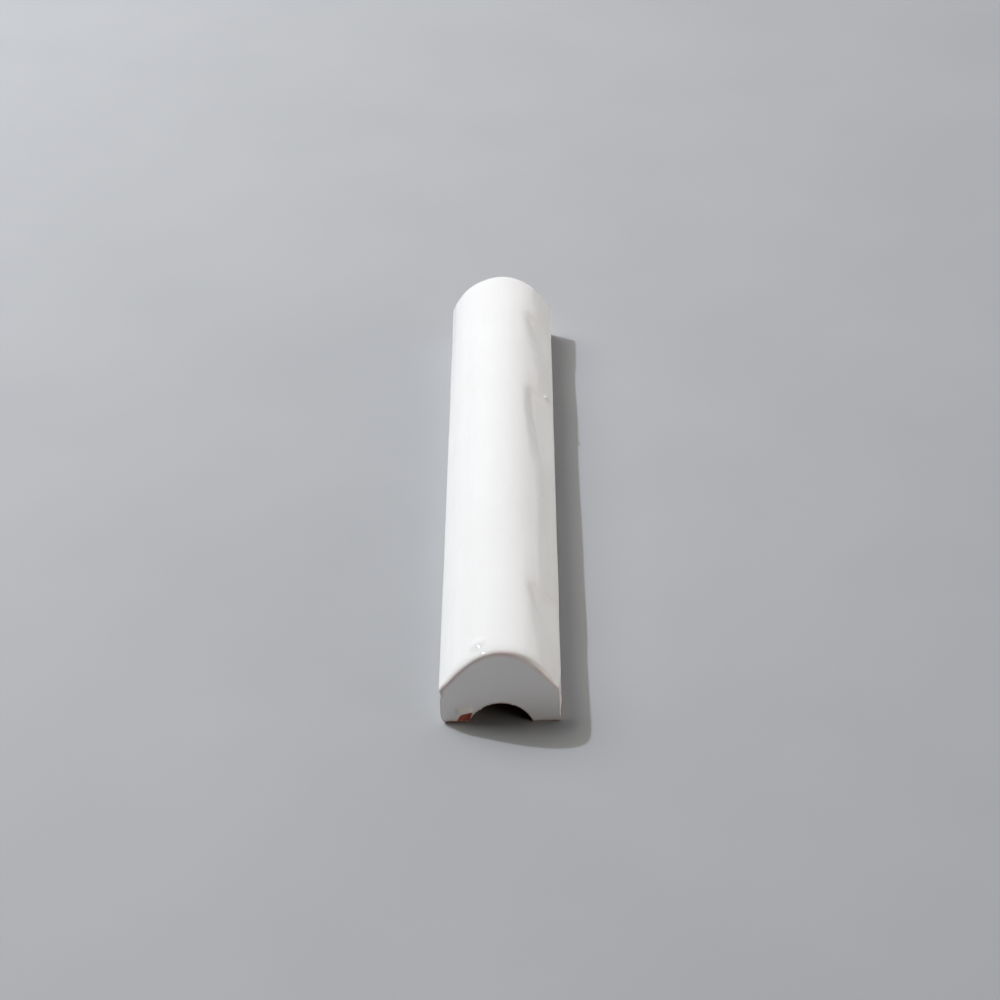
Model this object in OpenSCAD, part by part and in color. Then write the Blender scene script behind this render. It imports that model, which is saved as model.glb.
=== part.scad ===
/* [Tile] */
// Length of the tile, along Y
tile_len = 200; // [60:1:300]
// Width across the two side walls
tile_w = 30; // [22:0.5:44]
// Height from the feet to the crest of the dome
tile_h = 21; // [16:0.5:32]
// Height at which the side walls turn into the dome
shoulder_h = 9.7; // [7:0.1:12]

/* [Edges] */
// Radius that softens the shoulder between side wall and dome
shoulder_r = 1.8; // [0.8:0.1:3]
// Radius of the glazed edge all round each end face
end_edge_r = 0.6; // [0.2:0.1:1]
// Chamfer that breaks the long inner edge of each foot
foot_break = 0.4; // [0.1:0.05:0.6]

/* [Channel] */
// Width of the bedding channel between the two feet
channel_w = 15.2; // [10:0.2:18]
// Depth of the bedding channel from the feet to its roof
channel_h = 5.4; // [4:0.1:6.5]
// Flare of the channel's mouth at each end face
mouth_flare = 0.3; // [0.2:0.05:0.8]

/* [Colour] */
// Glaze colour
glaze_colour = "#EFEEEA"; // [#EFEEEA:Warm white, #F4F4F4:White, #CFCBC2:Oyster]

/* [Hidden] */
// Radius of the outer long edge of each foot
foot_r = 0.8;
// Straight segments that follow the dome from shoulder to shoulder
dome_steps = 36;
// Segments in each quarter round of an edge
edge_steps = 4;
// Extra length with which a cut runs past the face it opens
cut_past = 1;
// The channel's section is the top of a circle whose centre lies below the feet
channel_r = (pow(channel_w / 2, 2) + pow(channel_h, 2)) / (2 * channel_h);
channel_z = channel_h - channel_r;

// Height of the dome above the feet at a distance x from the middle plane.
// The dome is a parabola through the crest and both shoulders.
function dome_z(x) = tile_h - (tile_h - shoulder_h) * pow(2 * x / tile_w, 2);

// Lays a section drawn in X and Y upright across the tile, centred on Y
module along_tile(len) {
    rotate([90, 0, 0]) linear_extrude(height = len, center = true) children();
}

// Rounds the convex corners of a section to the radius r
module soften(r) {
    offset(r = r, $fn = 4 * edge_steps) offset(delta = -r) children();
}

// The sharp section: two feet side by side as one block under the dome
module sharp_section() {
    dome_x = [for (i = [0:dome_steps]) tile_w * (0.5 - i / dome_steps)];
    polygon(concat([[-tile_w / 2, 0], [tile_w / 2, 0]], [for (x = dome_x) [x, dome_z(x)]]));
}

// The pressed section, with softer shoulders than feet
module outer_section() {
    intersection() {
        soften(foot_r) sharp_section();
        union() {
            soften(shoulder_r) sharp_section();
            translate([-tile_w / 2, 0]) square([tile_w, shoulder_h / 2]);
        }
    }
}

// The block before the channel is cut. Each prism is longer and slimmer than
// the one before, so their hull rounds the edge of both end faces.
module domed_block() {
    hull() for (i = [0:edge_steps]) {
        turn = 90 * i / edge_steps;
        along_tile(tile_len - 2 * end_edge_r * (1 - sin(turn)))
            offset(delta = -end_edge_r * (1 - cos(turn))) outer_section();
    }
}

// The open channel along the underside, its flared mouths and its broken edges
module bedding_channel() {
    translate([0, 0, channel_z]) {
        rotate([90, 0, 0]) cylinder(r = channel_r, h = tile_len + 2 * cut_past, center = true, $fn = 96);
        for (side = [-1, 1]) {
            translate([0, side * (tile_len / 2 - mouth_flare), 0])
                rotate([-90 * side, 0, 0])
                    cylinder(r1 = channel_r, r2 = channel_r + 2 * mouth_flare, h = 2 * mouth_flare, $fn = 96);
        }
    }
    along_tile(tile_len + 2 * cut_past) polygon([
        [-channel_w / 2 - 2 * foot_break, -foot_break],
        [channel_w / 2 + 2 * foot_break, -foot_break],
        [channel_w / 2 - foot_break, 2 * foot_break],
        [-channel_w / 2 + foot_break, 2 * foot_break]
    ]);
}

module trim_tile() {
    color(glaze_colour) difference() {
        domed_block();
        bedding_channel();
    }
}

trim_tile();
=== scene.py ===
"""A glazed clay trim tile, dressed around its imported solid.

The tile is one closed mesh: rings round its arched section, from the near end at -Y to the far
end, and a grid across each end face. Lengths are in millimetres up to the last step of the mesh.
"""

import math

import bpy
import numpy as np
from mathutils import Matrix, Vector, noise


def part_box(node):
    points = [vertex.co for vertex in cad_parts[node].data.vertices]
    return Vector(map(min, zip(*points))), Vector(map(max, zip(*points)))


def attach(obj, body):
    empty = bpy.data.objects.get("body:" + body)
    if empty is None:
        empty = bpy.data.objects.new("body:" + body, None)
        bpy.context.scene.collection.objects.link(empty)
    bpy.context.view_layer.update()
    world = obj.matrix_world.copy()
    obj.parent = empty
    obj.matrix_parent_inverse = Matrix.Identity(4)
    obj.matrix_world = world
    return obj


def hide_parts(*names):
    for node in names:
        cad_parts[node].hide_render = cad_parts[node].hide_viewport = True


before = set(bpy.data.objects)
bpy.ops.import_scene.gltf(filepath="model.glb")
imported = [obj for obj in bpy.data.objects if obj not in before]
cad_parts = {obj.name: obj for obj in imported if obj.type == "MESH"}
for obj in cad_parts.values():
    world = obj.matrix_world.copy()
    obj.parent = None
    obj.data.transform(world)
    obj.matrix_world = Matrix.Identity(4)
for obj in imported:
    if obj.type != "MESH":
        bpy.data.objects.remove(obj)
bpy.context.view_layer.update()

MM = 0.001
TILE = "trim_tile"

# The tile's own sizes: the box comes from the frame, and the rest repeats the solid's section
low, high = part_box(TILE)
HALF_W = (high[0] - low[0]) / 2 / MM
HALF_L = (high[1] - low[1]) / 2 / MM
TILE_H = (high[2] - low[2]) / MM
SHOULDER_H = 9.7
SHOULDER_R = 1.8
FOOT_R = 0.8
CHANNEL_W = 15.2
CHANNEL_H = 5.4
CHANNEL_EDGE_R = 0.35
CHANNEL_R = ((CHANNEL_W / 2) ** 2 + CHANNEL_H ** 2) / (2 * CHANNEL_H)
CHANNEL_Z = CHANNEL_H - CHANNEL_R

# Direction of the channel's left wall where it leaves the foot
CHANNEL_WALL = (-CHANNEL_Z / CHANNEL_R, CHANNEL_W / 2 / CHANNEL_R)

# Points that the dome and the channel's roof are drawn with, from a foot to the middle
DOME_POINTS = 80
ROOF_POINTS = 60

# Mesh density. END_CROWDING draws the end cells toward the edge, and a blister has its own rings
ARCH_CELLS = 152
WALL_CELLS = 24
RIM_CELLS = 6
END_CELLS = 18
END_CROWDING = 1.7
MIDDLE_CELLS = 136
BLISTER_RINGS = 11

# Parts of the tile's surface
OUTER, INNER, BASE, END = range(4)

# Stands for a distance that is past every limit
FAR_AWAY = 99.0

# How far each seed moves the noise, so that no two uses look alike
SEED_SHIFT = (17.3, 5.1, 9.7)

# Room kept inside the solid's box for the hand-made surface, and the least that is always left
SKIN_GAP = 0.10
LEAST_GAP = 0.01

# Heights over which the hand-made surface fades in above the soles, outside and in the channel
SKIN_FADE = (-0.3, 1.2)
CHANNEL_FADE = (0.0, 1.5)

# Waves of the glaze, from broad to fine: depth, and grain along X, Y and Z
GLAZE_WAVES = ((0.09, (11, 24, 11)), (0.028, (3.2, 9, 3.2)), (0.010, (1.1, 26, 1.1)))

# Waves of the bare channel. The first is deeper by MOUTH_DEPTH at the mouths, which dies away over
# MOUTH_REACH
CHANNEL_WAVES = ((0.05, (1.7, 3.5, 1.7)), (0.08, (6, 14, 6)))
MOUTH_DEPTH = 0.10
MOUTH_REACH = 2.0

# The end faces' inset, the depth of their waves and the waves' grain. All of it fades out along the
# tile over FACE_REACH
NEAR_FACE = (0.31, 0.07, 9)
FAR_FACE = (0.07, 0.09, 8)
FACE_REACH = 6.0

# Radius of the end edge over the dome, at the left shoulder, at either wall and low down
RIM_TOP = 1.30
RIM_SHOULDER = 1.05
RIM_LEFT = 0.30
RIM_RIGHT = 0.75
RIM_LOW = 0.15

# Heights between which one radius turns into the next: low down to wall, wall to left shoulder, and
# wall to dome
LOW_RIM_Z = (0.2, 2.4)
SHOULDER_RIM_Z = (6.8, 8.8)
DOME_RIM_Z = (SHOULDER_H - 1, SHOULDER_H + 4)

# X over which the dome's skin turns into either wall's
LEFT_WALL_X = (-14, -13)
RIGHT_WALL_X = (13, 14)

# Near the near end, the left wall is tucked in under the shoulder. The tuck fades out upward, between
# the heights of TUCK_Z
TUCK = 0.85
TUCK_Z = (7.4, 9.2)
TUCK_REACH = 14.0

# The right wall there is tucked in above and below a swelling at SWELL_Z
SWELL_TUCK = 0.60
SWELL_Z = 5.6
SWELL_WIDTH = 2.6
SWELL_REACH = 9.0

# Stretch next to each end edge that has finer cells
END_REACH = 10.0

# How far the dome sags to the near edge, over what stretch, and how far above the shoulders it starts
END_SAG = 0.45
SAG_REACH = 4.0
SAG_RISE = 3.0

# The dome is fuller at its ends: X, distance from the near end, and lift
FULL_PLACES = ((8.0, 0, 0.45), (-10.0, 200, 0.85), (9.5, 200, 0.60))
FULL_WIDTH = 4.5
FULL_REACH = 40.0
FULL_RISE = 2.4

# Finger marks sink the flank away from the lamps: distance from the near end, X where the mark starts,
# and depth, which it reaches MARK_RUN farther out. They fade out down the flank, between the heights
# of MARK_FADE
FLANK_MARKS = ((0, 5.8, 0.12), (5, 5.8, 0.12), (12, 5.8, 0.12), (20, 6.4, 0.32), (27, 6.3, 0.54),
               (32.5, 5.5, 0.60), (37, 5.9, 0.24), (44, 5.8, 0.10), (52, 5.8, 0.06), (82, 5.8, 0.0),
               (96, 7.1, 0.12), (105, 7.1, 0.42), (114, 6.6, 0.68), (125, 5.9, 0.84), (134, 5.8, 0.76),
               (140, 6.2, 0.24), (150, 5.8, 0.01), (158, 6.2, 0.10), (165, 6.6, 0.38), (171, 6.2, 0.62),
               (178, 5.6, 0.70), (183, 6.0, 0.16), (192, 6.0, 0.07), (200, 6.0, 0.06))
MARK_RUN = 4.0
MARK_FADE = (7, 15)

# A low step down the flank, along the outer side of the finger marks: distance from the near end, X
# and drop. It fades out toward the wall, between the X of STEP_FADE
FLANK_STEP = ((0, 10.2, 0.06), (12, 10.4, 0.08), (22, 10.5, 0.11), (27, 8.9, 0.10), (32.5, 7.8, 0.09),
              (36, 7.6, 0.0), (40, 10.3, 0.0), (50, 10.6, 0.07), (67, 11.0, 0.09), (80, 11.4, 0.10),
              (97, 11.2, 0.14), (113, 10.3, 0.14), (124, 9.1, 0.11), (133, 8.1, 0.09), (137, 7.9, 0.0),
              (150, 11.4, 0.0), (158, 11.4, 0.06), (167, 11.0, 0.14), (172, 9.7, 0.11), (178, 8.2, 0.09),
              (181.5, 8.0, 0.0), (186, 9.5, 0.02), (192, 9.5, 0.08), (200, 9.9, 0.08))
STEP_WIDTH = 1.5
STEP_FADE = (12.5, 15)

# The near edge under the left foot is worn up, and the foot's corner is worn in: depth, X and Z over
# which the wear fades out, and how far it reaches along the tile
FOOT_WEAR = (0.30, (-9, -6), (0, 3), 4)
CORNER_WEAR = (0.55, (-14.2, -12.8), (0.6, 2.4), 8)

# Blisters in the glaze: X, distance from the near end, radius and height
BLISTERS = ((-5.3, 5.5, 3.0, 0.58), (13.2, 138.5, 1.1, 0.75))

# The chip on the near end, and the pale lip of slip above it, as outlines in X and Z
CHIP = [(-10.8, 0.2), (-9.9, 2.0), (-7.0, 2.95), (-7.1, 2.2), (-7.6, 0.9), (-7.7, 0.2)]
LIP = [(-11.1, 4.5), (-11.0, 2.7), (-10.0, 2.2), (-6.95, 2.95), (-6.9, 4.7), (-9.0, 5.0)]
CHIP_DEPTH = 0.35
CHIP_GRAIN = 0.08
LIP_HEIGHT = 0.30

# Distances from either outline between which it reaches full depth or height, and how far from the
# near end both fade out
CHIP_EDGE = (-0.25, 0.1)
LIP_EDGE = (-0.9, 0.2)
CHIP_REACH = (0.3, 1.4)

# Past this distance from the near end, the material sees neither of them
CHIP_LIMIT = 3.0

# How high above the sole the glaze stops on the end faces: at the near end's left foot, and elsewhere
BARE_NEAR_LEFT = 0.10
BARE_ELSEWHERE = 0.02

# Colours, as red, green, blue and alpha
CLAY = (0.46, 0.092, 0.058, 1.0)
CLAY_LIGHT = (0.50, 0.125, 0.082, 1.0)
CLAY_SPECK = (0.44, 0.20, 0.13, 1.0)
# Painted shade: a near-black clay for the inside of the channel
CLAY_PAINTED_SHADE = (0.09, 0.020, 0.012, 1.0)
GLAZE = (0.880, 0.878, 0.874, 1.0)
GLAZE_LIGHT = (0.897, 0.896, 0.894, 1.0)
GLAZE_STREAK = (0.86, 0.856, 0.846, 1.0)
# Painted light: a paler, bluer white for the end faces, standing in for the light that falls on them
GLAZE_END_PAINTED_LIGHT = (0.90, 0.885, 0.91, 1.0)
GLAZE_RIM = (0.76, 0.32, 0.32, 1.0)
GLAZE_THIN = (0.52, 0.40, 0.33, 1.0)
SLIP = (0.98, 0.93, 0.88, 1.0)
FLOOR = (0.415, 0.424, 0.441, 1.0)
FLOOR_LIGHT = (0.429, 0.438, 0.455, 1.0)

# Noise levels over which a pattern turns from none to full: soft clouds, firm patches, sparse specks
CLOUDS = (0.3, 0.7)
PATCHES = (0.35, 0.65)
SPECKS = (0.55, 0.75)

# The glaze's edges fray in grains of FRAY_GRAIN, over a width of FRAY_WIDTH. Clay turns into glaze
# between the distances of COVER_EDGE, and at the chip between those of BREAK_EDGE
FRAY_GRAIN = 0.7
FRAY_WIDTH = 0.5
COVER_EDGE = (0.02, 0.10)
BREAK_EDGE = (-0.06, 0.06)

# The red line along the dome's end edges: how far past the edge its middle lies, distances from the
# middle where it starts and is full, and its range of strength
RIM_LINE = 0.2
RIM_LINE_EDGE = (0.9, 0.1)
RIM_LINE_STRENGTH = (0.13, 0.27)

# Next to bare clay the glaze is thin: distances where that starts and is full, and its strength
THIN_EDGE = (0.9, 0.1)
THIN_STRENGTH = 0.4

# The lip's slip: distances from its outline where it starts and is full, and its strength
SLIP_EDGE = (0.15, -0.15)
SLIP_STRENGTH = 0.95
STREAK_STRENGTH = 0.25

# Roughness: bare clay, the range of the glaze, and the floor
CLAY_ROUGHNESS = 0.9
GLAZE_ROUGHNESS = (0.06, 0.10)
FLOOR_ROUGHNESS = 0.85

# Relief: depth of the clay's grain and of the glaze's faint waves, and how far glaze stands above clay
CLAY_RELIEF = 0.25
GLAZE_RELIEF = 0.05
GLAZE_RISE = 0.10

# Camera: the photographed frame is 1000 pixels wide, and the base's centre shows at CAMERA_PIXEL
FRAME_PX = 1000
FOCAL_PX = 2629
CAMERA_AZIMUTH = -1.22
CAMERA_ELEVATION = 31.66
CAMERA_ROLL = 2.0
CAMERA_DEPTH = 726.9
CAMERA_PIXEL = (502.1, 506.5)

# Lamps, in metres and watts: a small bright bulb in front of the middle of a wide soft disc
LAMP_PLACE = (-0.81, 0.546, 1.144)
BULB_RADIUS = 0.023
BULB_POWER = 48.0
BULB_COLOUR = (0.833, 0.864, 1.0)
DISC_DIAMETER = 1.23
DISC_POWER = 15.9
DISC_COLOUR = (1.0, 0.997, 0.883)

# Light from the room: azimuth, spread (higher is narrower), level and colour of a low window to the
# right, and of a pale wall behind
ROOM_LIGHTS = ((-21.0, 17.0, 5.8, (1.0, 0.955, 0.83, 1.0)),
               (63.7, 1.0, 0.78, (0.99, 0.945, 1.0, 1.0)))


# Outline of the section

def dome_z(x):
    """Height of the sharp dome above the feet."""
    return TILE_H - (TILE_H - SHOULDER_H) * (x / HALF_W) ** 2


def fillet(corner, before, after, radius, steps=10):
    """Points of a round corner between two straight runs that meet at corner.

    before and after are directions that lead away from the corner along each run.
    """
    before = np.array(before) / np.linalg.norm(before)
    after = np.array(after) / np.linalg.norm(after)
    half_angle = math.acos(float(np.clip(before @ after, -1, 1))) / 2
    middle = (before + after) / np.linalg.norm(before + after)
    centre = np.array(corner) + middle * radius / math.sin(half_angle)
    start = np.array(corner) + before * radius / math.tan(half_angle) - centre
    end = np.array(corner) + after * radius / math.tan(half_angle) - centre
    turn = math.acos(float(np.clip(start @ end / radius ** 2, -1, 1)))
    spread = math.sin(turn)
    turns = [turn * k / steps for k in range(steps + 1)]
    return [centre + (start * math.sin(turn - t) + end * math.sin(t)) / spread for t in turns]


def resample(points, cells):
    """The same line with its points at equal distances."""
    points = np.array(points)
    steps = np.linalg.norm(np.diff(points, axis=0), axis=1)
    along = np.concatenate([[0], np.cumsum(steps)])
    wanted = np.linspace(0, along[-1], cells + 1)
    return np.stack([np.interp(wanted, along, points[:, k]) for k in (0, 1)], axis=1)


def mirrored(left):
    """A line from the left foot to the middle, carried on to the right foot."""
    left = [np.array(p) for p in left]
    return left + [np.array((-p[0], p[1])) for p in reversed(left) if p[0] < -1e-6]


def outer_line():
    """From the left foot's outer corner over the dome to the right one's."""
    slope = 2 * (TILE_H - SHOULDER_H) / HALF_W
    foot = fillet((-HALF_W, 0), (1, 0), (0, 1), FOOT_R)
    shoulder = fillet((-HALF_W, SHOULDER_H), (0, -1), (1, slope), SHOULDER_R)
    dome_from = shoulder[-1][0]
    dome = [(x, dome_z(x)) for x in np.linspace(dome_from, 0, DOME_POINTS)[1:]]
    return mirrored(foot[len(foot) // 2:] + shoulder + dome)


def channel_line():
    """From the left foot's inner corner under the roof of the channel to the right one's."""
    foot = fillet((-CHANNEL_W / 2, 0), (-1, 0), CHANNEL_WALL, CHANNEL_EDGE_R)
    turns = np.linspace(math.asin(-foot[-1][0] / CHANNEL_R), 0, ROOF_POINTS)[1:]
    roof = [(-CHANNEL_R * math.sin(turn), CHANNEL_Z + CHANNEL_R * math.cos(turn)) for turn in turns]
    return mirrored(foot[len(foot) // 2:] + roof)


def base_line(side):
    """One foot's underside, from the channel's corner to the outer corner."""
    wall = (-side * CHANNEL_WALL[0], CHANNEL_WALL[1])
    inner = fillet((side * CHANNEL_W / 2, 0), (side, 0), wall, CHANNEL_EDGE_R)
    outer = fillet((side * HALF_W, 0), (-side, 0), (0, 1), FOOT_R)
    return list(reversed(inner[:len(inner) // 2 + 1])) + outer[:len(outer) // 2 + 1]


def patch(outer, inner, left, right):
    """Fills the arch between four border lines, as a grid along the arch and through its thickness."""
    s = np.linspace(0, 1, len(outer))[:, None, None]
    t = np.linspace(0, 1, len(left))[None, :, None]
    along = (1 - t) * inner[:, None] + t * outer[:, None]
    through = (1 - s) * left[None] + s * right[None]
    corners = (1 - s) * ((1 - t) * inner[0] + t * outer[0]) + s * ((1 - t) * inner[-1] + t * outer[-1])
    return along + through - corners


# Hand-made departures from the plain section

def blend(value, start, end):
    """0 before start, 1 after end, and a smooth step between them."""
    share = np.clip((value - start) / (end - start), 0, 1)
    return share * share * (3 - 2 * share)


def bell(value, centre, width):
    """1 at centre, falling smoothly to 0 on both sides."""
    return np.exp(-((value - centre) / width) ** 2)


def smooth_through(knots, column, value):
    """A smooth wave through a column of knots, level at each knot. Their first column is the place."""
    places, heights = np.array(knots)[:, [0, column]].T
    right = np.clip(np.searchsorted(places, value), 1, len(places) - 1)
    share = blend(value, places[right - 1], places[right])
    return heights[right - 1] * (1 - share) + heights[right] * share


def ripple(points, size, seed):
    """Smooth noise from about -1 to 1 at each point. size is its grain along X, Y and Z."""
    shift = Vector([seed * part for part in SEED_SHIFT])
    grains = points.reshape(-1, 3) / np.array(size)
    return np.array([noise.noise(Vector(p) + shift) for p in grains]).reshape(points.shape[:-1])


def flank_sink(x, z, from_near):
    """How deep the finger marks, and the low step along them, are at each point."""
    start, depth = (smooth_through(FLANK_MARKS, column, from_near) for column in (1, 2))
    marks = depth * blend((x - start) / MARK_RUN, 0, 1) * blend(z, *MARK_FADE)
    edge, drop = (smooth_through(FLANK_STEP, column, from_near) for column in (1, 2))
    return marks + drop * blend((x - edge) / STEP_WIDTH, -0.5, 0.5) * (1 - blend(x, *STEP_FADE))


def near_end_sink(x, z, from_near):
    """How deep the walls are tucked in, and how far the dome sags, at the near end."""
    under_shoulder = (1 - blend(x, *LEFT_WALL_X)) * (1 - blend(z, *TUCK_Z))
    left = TUCK * under_shoulder * (1 - blend(from_near, 0, TUCK_REACH))
    off_swell = blend(x, *RIGHT_WALL_X) * (1 - bell(z, SWELL_Z, SWELL_WIDTH))
    right = SWELL_TUCK * off_swell * (1 - blend(from_near, 0, SWELL_REACH))
    sag = END_SAG * (1 - np.clip(from_near / SAG_REACH, 0, 1)) ** 2
    return left + right + sag * blend(z, SHOULDER_H, SHOULDER_H + SAG_RISE)


def fullness(x, z, from_near):
    """How far the dome's full ends and the blisters rise at each point."""
    full = sum(lift * bell(x, at, FULL_WIDTH) * bell(from_near, place, FULL_REACH)
               for at, place, lift in FULL_PLACES)
    full = full * blend(z, SHOULDER_H, SHOULDER_H + FULL_RISE)
    for at, place, radius, height in BLISTERS:
        away = np.sqrt((x - at) ** 2 + (z - dome_z(at)) ** 2 + (from_near - place) ** 2)
        full += height * (1 - blend(away, 0, radius))
    return full


def skin_offset(points, from_near):
    """How far the glazed face stands out of its plain place. Only full ends and blisters take it past 0."""
    x, z = points[..., 0], points[..., 2]
    waves = sum(depth * ripple(points, size, seed) for seed, (depth, size) in enumerate(GLAZE_WAVES, 1))
    offset = waves - flank_sink(x, z, from_near) - near_end_sink(x, z, from_near)
    return np.minimum(offset - SKIN_GAP, -LEAST_GAP) + fullness(x, z, from_near)


def clay_offset(points, from_near):
    """The bare channel's roughness, strongest at its two mouths. Positive stands into the clay."""
    mouth = np.exp(-np.minimum(from_near, 2 * HALF_L - from_near) / MOUTH_REACH)
    (fine, fine_size), (broad, broad_size) = CHANNEL_WAVES
    rough = (fine + MOUTH_DEPTH * mouth) * ripple(points, fine_size, 4)
    return rough + broad * ripple(points, broad_size, 5)


# The tile's surface

def section_loop():
    """The closed section, clockwise from the left foot's outer corner, and the part of each point."""
    outer = resample(outer_line(), ARCH_CELLS)
    inner = resample(channel_line(), ARCH_CELLS)
    right = resample(base_line(1), WALL_CELLS)
    left = resample(base_line(-1), WALL_CELLS)
    loop = np.concatenate([outer, right[::-1][1:-1], inner[::-1], left[1:-1]])
    sizes = (len(outer), len(right) - 2, len(inner), len(left) - 2)
    return loop, np.repeat([OUTER, BASE, INNER, BASE], sizes)


def outward(loop):
    """Unit normals that point out of the clay."""
    along = np.roll(loop, -1, axis=0) - np.roll(loop, 1, axis=0)
    along /= np.linalg.norm(along, axis=1)[:, None]
    return np.stack([-along[:, 1], along[:, 0]], axis=1)


def rim_radius(loop, part):
    """Radius of the end edge at each point of the section."""
    x, z = loop.T
    left = RIM_LEFT + (RIM_SHOULDER - RIM_LEFT) * blend(z, *SHOULDER_RIM_Z)
    wall = np.where(x < 0, left, RIM_RIGHT)
    upper = wall + (RIM_TOP - wall) * blend(z, *DOME_RIM_Z)
    outer = RIM_LOW + (upper - RIM_LOW) * blend(z, *LOW_RIM_Z)
    return np.where(part == OUTER, outer, RIM_LOW)


def ring_rows():
    """Each ring's turn round the end edge, distance past it, and share of the way across.

    The rings lie closer together at the ends and under the blisters.
    """
    quarter = math.pi / 2
    past = END_REACH * np.linspace(0, 1, END_CELLS + 1)[1:] ** END_CROWDING
    near = [(turn, 0.0, 0.0) for turn in np.linspace(0, quarter, RIM_CELLS + 1)]
    near += [(quarter, distance, 0.0) for distance in past]
    shares = np.linspace(0, 1, MIDDLE_CELLS + 1)[1:-1]
    for _, place, radius, _ in BLISTERS:
        close = place + radius * np.linspace(-1, 1, BLISTER_RINGS)
        close = (close - END_REACH) / (2 * HALF_L - 2 * END_REACH)
        shares = np.union1d(shares, close[close > 0])
    across = [(quarter, END_REACH, share) for share in shares]
    far = [(turn, distance, 1.0) for turn, distance, _ in reversed(near)]
    return np.array(near + across + far)


def rings(loop, part):
    """The points of every ring round the tile, and how far each lies from the near end."""
    normal = outward(loop)
    radius = rim_radius(loop, part)
    turn, past, share = ring_rows().T[:, :, None]
    from_end = radius * (1 - np.cos(turn)) + past
    from_near = from_end * (1 - share) + (2 * HALF_L - from_end) * share
    plain = np.stack(np.broadcast_arrays(loop[:, 0], from_near, loop[:, 1]), axis=-1)
    skin = skin_offset(plain, from_near) * blend(loop[:, 1], *SKIN_FADE)
    clay = -clay_offset(plain, from_near) * blend(loop[:, 1], *CHANNEL_FADE)
    lift = np.select([part == OUTER, part == INNER], [skin, clay], 0.0)
    out = lift * np.sin(turn) ** 2 - radius * (1 - np.sin(turn))
    x = plain[..., 0] + out * normal[:, 0]
    z = plain[..., 2] + out * normal[:, 1]
    return np.stack([x, from_near - HALF_L, z], axis=-1), from_near


def end_grid(ring):
    """An end face's points, from the ring that borders it."""
    a, b = ARCH_CELLS, WALL_CELLS
    outer = ring[:a + 1]
    right = ring[a:a + b + 1][::-1]
    inner = ring[a + b:2 * a + b + 1][::-1]
    left = np.concatenate([ring[2 * a + b:], ring[:1]])
    return patch(outer, inner, left, right)


def ring_quads(count, rows):
    """Faces between each ring and the next."""
    k, n = np.meshgrid(np.arange(rows - 1), np.arange(count), indexing="ij")
    m = (n + 1) % count
    quads = np.stack([k * count + n, k * count + m, (k + 1) * count + m, (k + 1) * count + n], axis=-1)
    return quads.reshape(-1, 4)


def end_quads(first_ring, first_inside, flip):
    """Faces of an end: its border is a ring, and its inside points follow from first_inside."""
    a, b = ARCH_CELLS, WALL_CELLS
    index = np.empty((a + 1, b + 1), dtype=int)
    index[1:a, 1:b] = first_inside + np.arange((a - 1) * (b - 1)).reshape(a - 1, b - 1)
    ring = np.arange(2 * (a + b))
    index[:, b] = ring[:a + 1]
    index[a, :] = ring[a:a + b + 1][::-1]
    index[:, 0] = ring[a + b:2 * a + b + 1][::-1]
    index[0, :] = np.concatenate([ring[2 * a + b:], ring[:1]])
    border = np.zeros(index.shape, dtype=bool)
    border[[0, -1], :] = True
    border[:, [0, -1]] = True
    index[border] += first_ring
    corners = [index[:-1, :-1], index[1:, :-1], index[1:, 1:], index[:-1, 1:]]
    quads = np.stack(corners, axis=-1).reshape(-1, 4)
    return quads[:, ::-1] if flip else quads


def polygon_distance(x, z, outline):
    """Distance from each point to a polygon's outline, negative inside it."""
    inside = np.zeros(x.shape, dtype=bool)
    nearest = np.full(x.shape, np.inf)
    for (x0, z0), (x1, z1) in zip(outline, outline[1:] + outline[:1]):
        run, rise = x1 - x0, z1 - z0
        along = np.clip(((x - x0) * run + (z - z0) * rise) / (run ** 2 + rise ** 2), 0, 1)
        nearest = np.minimum(nearest, np.hypot(x - x0 - along * run, z - z0 - along * rise))
        if rise != 0:
            crosses = (z0 > z) != (z1 > z)
            inside ^= crosses & (x < x0 + (z - z0) * run / rise)
    return np.where(inside, -nearest, nearest)


def face_inset(flat, from_end, face, seed):
    """How far the clay near an end is pushed in along the tile. flat has the points at Y 0."""
    inset, wave, size = face
    at_end = 1 - blend(from_end, 0, FACE_REACH)
    return at_end * (inset + wave * ripple(flat, (size, 1, size), seed))


def worn(x, z, from_near, wear):
    """How deep a patch of wear at the near end is at each point."""
    depth, x_fade, z_fade, reach = wear
    return depth * ((1 - blend(x, *x_fade)) * (1 - blend(z, *z_fade)) * (1 - blend(from_near, 0, reach)))


def wear_ends(points, from_near):
    """Moves the points near each end face to where pressing, firing and knocks left them."""
    x, y, z = points.T
    flat = np.stack([x, np.zeros_like(x), z], axis=1)
    y = y + face_inset(flat, from_near, NEAR_FACE, 6)
    y = y - face_inset(flat, 2 * HALF_L - from_near, FAR_FACE, 7)
    z = z + worn(x, z, from_near, FOOT_WEAR)
    x = x + worn(x, z, from_near, CORNER_WEAR)
    return np.stack([x, y, z], axis=1)


def break_chip(points, from_near, chip, lip):
    """Sinks the chip into the near end face and swells the lip above it."""
    x, y, z = points.T
    face = 1 - blend(from_near, *CHIP_REACH)
    rough = CHIP_GRAIN * ripple(points, (0.5, 0.5, 0.5), 8)
    sunk = (CHIP_DEPTH + rough) * (1 - blend(chip, *CHIP_EDGE))
    swollen = LIP_HEIGHT * (1 - blend(lip, *LIP_EDGE))
    return np.stack([x, y + face * (sunk - swollen), z], axis=1)


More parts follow.
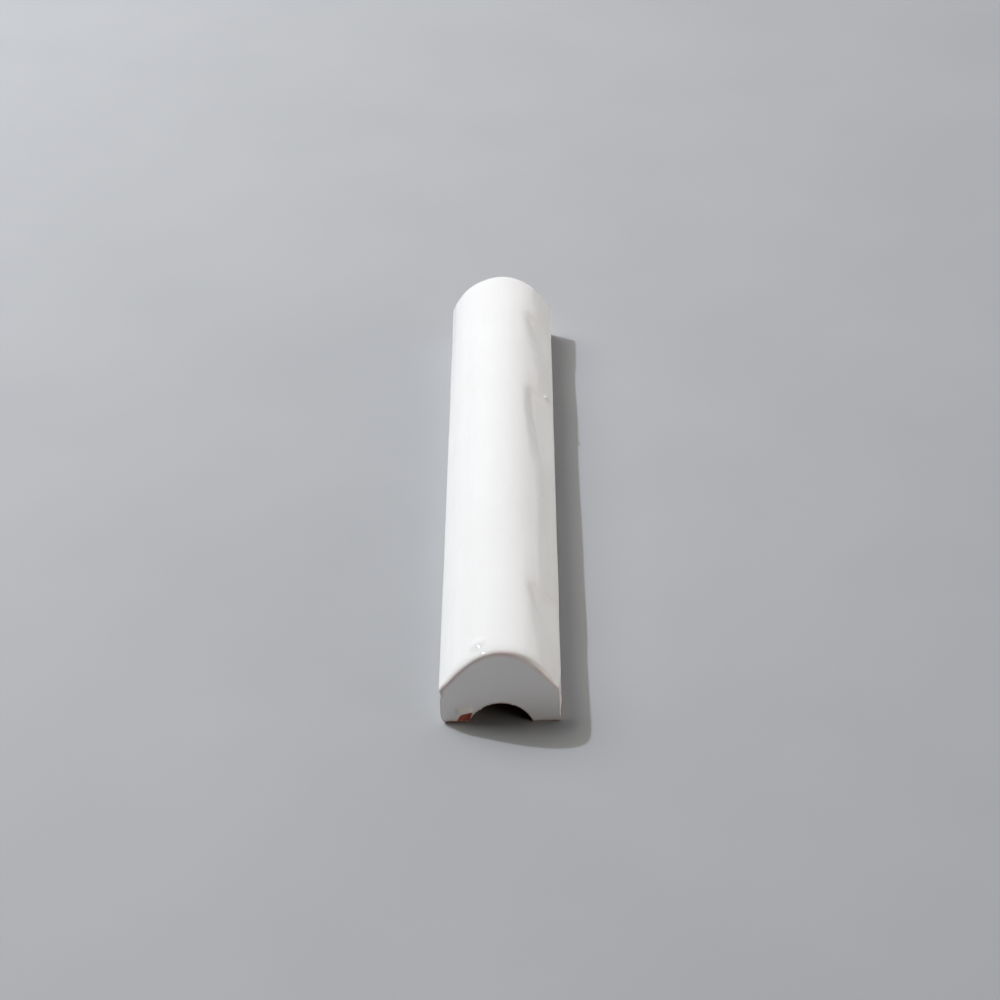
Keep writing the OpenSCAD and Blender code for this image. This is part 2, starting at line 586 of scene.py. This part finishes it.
def distance_fields(points, parts, from_near, rim):
    """What the material reads at each point: distances in millimetres, and marks that are 0 or 1."""
    x, z = points[:, 0], points[:, 2]
    from_end = np.minimum(from_near, 2 * HALF_L - from_near)
    over_channel = np.hypot(x, z - CHANNEL_Z) - CHANNEL_R
    bare = np.where((x < 0) & (from_near < HALF_L), BARE_NEAR_LEFT, BARE_ELSEWHERE)
    to_wall = HALF_W - np.abs(x)
    on_end = np.minimum(z - bare, over_channel)
    on_sole = -np.minimum(to_wall, from_end)
    off_near_end = np.where(from_near < CHIP_LIMIT, 0, FAR_AWAY)
    return {
        "cover": np.select([parts == OUTER, parts == END, parts == BASE], [z, on_end, on_sole], -from_end),
        "rim": rim,
        "chip": polygon_distance(x, z, CHIP) + off_near_end,
        "lip": polygon_distance(x, z, LIP) + off_near_end,
        "end": np.where(parts == END, 1.0, 0.0),
        "inside": np.where(parts == INNER, 1.0, 0.0),
    }


def tile_surface():
    """The whole tile: its points, its faces and its distance fields."""
    loop, part = section_loop()
    ring_points, ring_from_near = rings(loop, part)
    rows, count = ring_points.shape[:2]
    near, far = end_grid(ring_points[0]), end_grid(ring_points[-1])
    inside = (slice(1, -1), slice(1, -1))
    points = np.concatenate([grid.reshape(-1, 3) for grid in (ring_points, near[inside], far[inside])])
    end_size = near[inside].shape[0] * near[inside].shape[1]
    parts = np.concatenate([np.tile(part, rows), np.full(2 * end_size, END)])
    end_places = [np.zeros(end_size), np.full(end_size, 2 * HALF_L)]
    from_near = np.concatenate([ring_from_near.ravel()] + end_places)
    faces = np.concatenate([
        ring_quads(count, rows),
        end_quads(0, rows * count, flip=False),
        end_quads((rows - 1) * count, rows * count + end_size, flip=True),
    ])

    # Distance past the dome's edge, counted along the tile, and down the end faces as minus
    from_end = np.minimum(ring_from_near, 2 * HALF_L - ring_from_near)
    past_edge = np.where(part == OUTER, from_end, FAR_AWAY).ravel()
    to_crown = [np.linalg.norm(grid - grid[:, -1:], axis=2)[inside].ravel() for grid in (near, far)]
    rim = np.concatenate([past_edge, -to_crown[0], -to_crown[1]])

    fields = distance_fields(points, parts, from_near, rim)
    points = wear_ends(points, from_near)
    points = break_chip(points, from_near, fields["chip"], fields["lip"])
    return points, faces, fields


def make_tile():
    """The tile as a smooth mesh that carries its distance fields as attributes."""
    points, faces, fields = tile_surface()
    mesh = bpy.data.meshes.new("domed_tile")
    mesh.from_pydata((points * MM).tolist(), [], faces.tolist())
    for name, values in fields.items():
        mesh.attributes.new(name, "FLOAT", "POINT").data.foreach_set("value", values.astype(np.float32))
    mesh.shade_smooth()
    tile = bpy.data.objects.new("domed_tile", mesh)
    bpy.context.collection.objects.link(tile)
    return tile


# Materials

class Nodes:
    """A short way to add and join the shader nodes of a material or world."""

    def __init__(self, owner):
        owner.use_nodes = True
        self.tree = owner.node_tree

    def put(self, socket, value):
        """Sets a socket to a number or colour, or joins it to another socket."""
        if isinstance(value, bpy.types.NodeSocket):
            self.tree.links.new(value, socket)
        else:
            socket.default_value = value

    def add(self, kind, settings=None, **inputs):
        """A node with its settings and inputs. An input's name has _ for a space."""
        made = self.tree.nodes.new("ShaderNode" + kind)
        for key, value in (settings or {}).items():
            setattr(made, key, value)
        for key, value in inputs.items():
            self.put(made.inputs[key.replace("_", " ")], value)
        return made

    def place(self):
        """The object's own coordinates, in metres."""
        return self.add("TexCoord").outputs["Object"]

    def field(self, name):
        """One of the mesh's own fields. Distances are in millimetres."""
        return self.add("Attribute", {"attribute_name": name}).outputs["Fac"]

    def math(self, operation, first, second=0.0):
        made = self.add("Math", {"operation": operation})
        self.put(made.inputs[0], first)
        self.put(made.inputs[1], second)
        return made.outputs[0]

    def vector(self, operation, first, second):
        made = self.add("VectorMath", {"operation": operation})
        self.put(made.inputs[0], first)
        self.put(made.inputs[1], second)
        return made

    def frayed(self, name, fray, share=1.0):
        """One of the mesh's own fields, with its edges frayed by a share of fray."""
        return self.math("ADD", self.field(name), self.math("MULTIPLY", fray, share))

    def step(self, value, start, end, low=0.0, high=1.0, kind="SMOOTHSTEP"):
        """low before start, high after end, and a smooth step between them."""
        made = self.add("MapRange", {"interpolation_type": kind}, Value=value)
        for key, number in (("From Min", start), ("From Max", end), ("To Min", low), ("To Max", high)):
            made.inputs[key].default_value = number
        return made.outputs["Result"]

    def grain(self, size_mm, detail=2.0, stretch=(1, 1, 1)):
        """Noise from 0 to 1, with its grain's size in millimetres."""
        scaled = self.add("Mapping", Vector=self.place(), Scale=tuple(1 / s for s in stretch))
        made = self.add("TexNoise", Vector=scaled.outputs[0], Scale=1 / (size_mm * MM), Detail=detail)
        return made.outputs[0]

    def mix(self, share, first, second, kind="RGBA"):
        """first where share is 0, and second where it is 1."""
        made = self.add("Mix", {"data_type": kind})
        sockets = [i for i in made.inputs if i.enabled]
        for socket, value in zip(sockets, (share, first, second)):
            self.put(socket, value)
        return next(o for o in made.outputs if o.enabled)


def bare_clay(n):
    """Red clay, speckled, and darker in the channel, where a near-black clay paints in the shade."""
    clay = n.mix(n.step(n.grain(1.6, 4), *PATCHES), CLAY, CLAY_LIGHT)
    clay = n.mix(n.step(n.grain(0.35, 3), *SPECKS), clay, CLAY_SPECK)
    # Painted shade: the channel's inside takes the near-black clay
    return n.mix(n.field("inside"), clay, CLAY_PAINTED_SHADE)


def clouded_glaze(n):
    """White with faint clouds and streaks, and on the ends a paler, bluer white that paints in the light
    falling on them.
    """
    cloud = n.step(n.grain(9, 3, stretch=(1, 2.2, 1)), *CLOUDS)
    white = n.mix(cloud, GLAZE, GLAZE_LIGHT)
    streak = n.step(n.grain(1.3, 2, stretch=(1, 14, 1)), *PATCHES)
    white = n.mix(n.math("MULTIPLY", streak, STREAK_STRENGTH), white, GLAZE_STREAK)
    # Painted light: the end faces take the paler, bluer white
    return n.mix(n.field("end"), white, GLAZE_END_PAINTED_LIGHT)


def thinned_glaze(n, white, fray):
    """The glaze made redder along the end edges and browner next to clay, with slip over the lip."""
    from_line = n.math("SUBTRACT", n.frayed("rim", fray, 0.7), RIM_LINE)
    line = n.step(n.math("ABSOLUTE", from_line), *RIM_LINE_EDGE)
    line = n.math("MULTIPLY", line, n.step(n.grain(3.5, 2), *CLOUDS, *RIM_LINE_STRENGTH))
    white = n.mix(line, white, GLAZE_RIM)
    thin = n.step(n.frayed("cover", fray, 1.5), *THIN_EDGE)
    white = n.mix(n.math("MULTIPLY", thin, THIN_STRENGTH), white, GLAZE_THIN)
    lip = n.step(n.frayed("lip", fray), *SLIP_EDGE)
    return n.mix(n.math("MULTIPLY", lip, SLIP_STRENGTH), white, SLIP)


def relief(n, glazed):
    """Grainy clay, standing a little below the smooth glaze."""
    grainy = n.math("MULTIPLY", n.grain(0.4, 6), n.step(glazed, 0, 1, CLAY_RELIEF, 0.0))
    smooth = n.math("MULTIPLY", n.grain(2.6, 2), GLAZE_RELIEF)
    height = n.math("ADD", n.math("ADD", grainy, smooth), n.math("MULTIPLY", glazed, GLAZE_RISE))
    return n.add("Bump", Height=height, Strength=1.0, Distance=1.0 * MM).outputs["Normal"]


def glazed_clay():
    """White gloss glaze over red clay, with a frayed edge where soles, channel and chip are bare."""
    material = bpy.data.materials.new("glazed_clay")
    n = Nodes(material)
    shader = n.tree.nodes["Principled BSDF"]
    fray = n.math("MULTIPLY", n.math("SUBTRACT", n.grain(FRAY_GRAIN, 3), 0.5), FRAY_WIDTH)
    cover = n.step(n.frayed("cover", fray), *COVER_EDGE)
    chip = n.step(n.frayed("chip", fray, 0.6), *BREAK_EDGE)
    glazed = n.math("MULTIPLY", cover, chip)
    glaze = thinned_glaze(n, clouded_glaze(n), fray)
    gloss = n.step(n.grain(5, 2), *CLOUDS, *GLAZE_ROUGHNESS)
    n.put(shader.inputs["Base Color"], n.mix(glazed, bare_clay(n), glaze))
    n.put(shader.inputs["Roughness"], n.mix(glazed, CLAY_ROUGHNESS, gloss, kind="FLOAT"))
    n.put(shader.inputs["Normal"], relief(n, glazed))
    return material


def plain_floor():
    """Matt pale grey, in two faintly clouded shades."""
    material = bpy.data.materials.new("pale_floor")
    n = Nodes(material)
    shader = n.tree.nodes["Principled BSDF"]
    tone = n.step(n.grain(60, 4), *CLOUDS)
    n.put(shader.inputs["Base Color"], n.mix(tone, FLOOR, FLOOR_LIGHT))
    shader.inputs["Roughness"].default_value = FLOOR_ROUGHNESS
    return material


# Stage, light and camera

def make_floor():
    """A wide level floor under the tile."""
    reach = 4.0
    mesh = bpy.data.meshes.new("floor")
    corners = [(-reach, -reach, 0), (reach, -reach, 0), (reach, reach, 0), (-reach, reach, 0)]
    mesh.from_pydata(corners, [], [(0, 1, 2, 3)])
    floor = bpy.data.objects.new("floor", mesh)
    bpy.context.collection.objects.link(floor)
    floor.data.materials.append(plain_floor())


def make_lamp(name, kind, colour):
    """A lamp at the place of the key light, turned to the tile."""
    lamp = bpy.data.objects.new(name, bpy.data.lights.new(name, kind))
    lamp.data.color = colour
    lamp.location = LAMP_PLACE
    lamp.rotation_mode = "QUATERNION"
    lamp.rotation_quaternion = lamp.location.to_track_quat("Z", "Y")
    bpy.context.collection.objects.link(lamp)
    return lamp


def make_lamps():
    """The bulb, and the disc around it, which doesn't show in the glaze."""
    bulb = make_lamp("bulb", "POINT", BULB_COLOUR)
    bulb.data.energy = BULB_POWER
    bulb.data.shadow_soft_size = BULB_RADIUS
    disc = make_lamp("soft_disc", "AREA", DISC_COLOUR)
    disc.data.energy = DISC_POWER
    disc.data.shape = "DISK"
    disc.data.size = DISC_DIAMETER
    disc.visible_glossy = False


def make_room_light():
    """Soft light that comes in over the horizon, brightest along each room light's azimuth."""
    world = bpy.data.worlds.new("room")
    bpy.context.scene.world = world
    n = Nodes(world)
    direction = n.add("TexCoord").outputs["Generated"]
    room = n.add("AddShader")
    for socket, (azimuth, spread, level, colour) in zip(room.inputs, ROOM_LIGHTS):
        aim = (math.cos(math.radians(azimuth)), math.sin(math.radians(azimuth)), 0)
        toward = n.math("MAXIMUM", n.vector("DOT_PRODUCT", direction, aim).outputs["Value"], 0.0)
        strength = n.math("MULTIPLY", n.math("POWER", toward, spread), level)
        n.put(socket, n.add("Background", Color=colour, Strength=strength).outputs[0])
    n.put(n.tree.nodes["World Output"].inputs["Surface"], room.outputs[0])
    n.tree.nodes.remove(n.tree.nodes["Background"])


def make_camera():
    """The photograph's camera, with the tile's base centre at CAMERA_PIXEL."""
    azimuth, elevation, roll = (math.radians(a) for a in (CAMERA_AZIMUTH, CAMERA_ELEVATION, CAMERA_ROLL))
    forward = Vector((math.sin(azimuth) * math.cos(elevation), math.cos(azimuth) * math.cos(elevation),
                      -math.sin(elevation)))
    level = Vector((math.cos(azimuth), -math.sin(azimuth), 0))
    right = Matrix.Rotation(roll, 3, forward) @ level
    up = right.cross(forward)
    across, down = (pixel - FRAME_PX / 2 for pixel in CAMERA_PIXEL)
    scale = CAMERA_DEPTH * MM / FOCAL_PX
    position = -(forward * CAMERA_DEPTH * MM + right * across * scale - up * down * scale)
    lens = bpy.data.cameras.new("camera")
    lens.lens = lens.sensor_width * FOCAL_PX / FRAME_PX
    camera = bpy.data.objects.new("camera", lens)
    camera.matrix_world = Matrix.Translation(position) @ Matrix((right, up, -forward)).transposed().to_4x4()
    bpy.context.collection.objects.link(camera)
    bpy.context.scene.camera = camera


tile = make_tile()
tile.data.materials.append(glazed_clay())
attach(tile, "root")
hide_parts(TILE)
make_floor()
make_lamps()
make_room_light()
make_camera()
bpy.context.scene.view_settings.view_transform = "Standard"
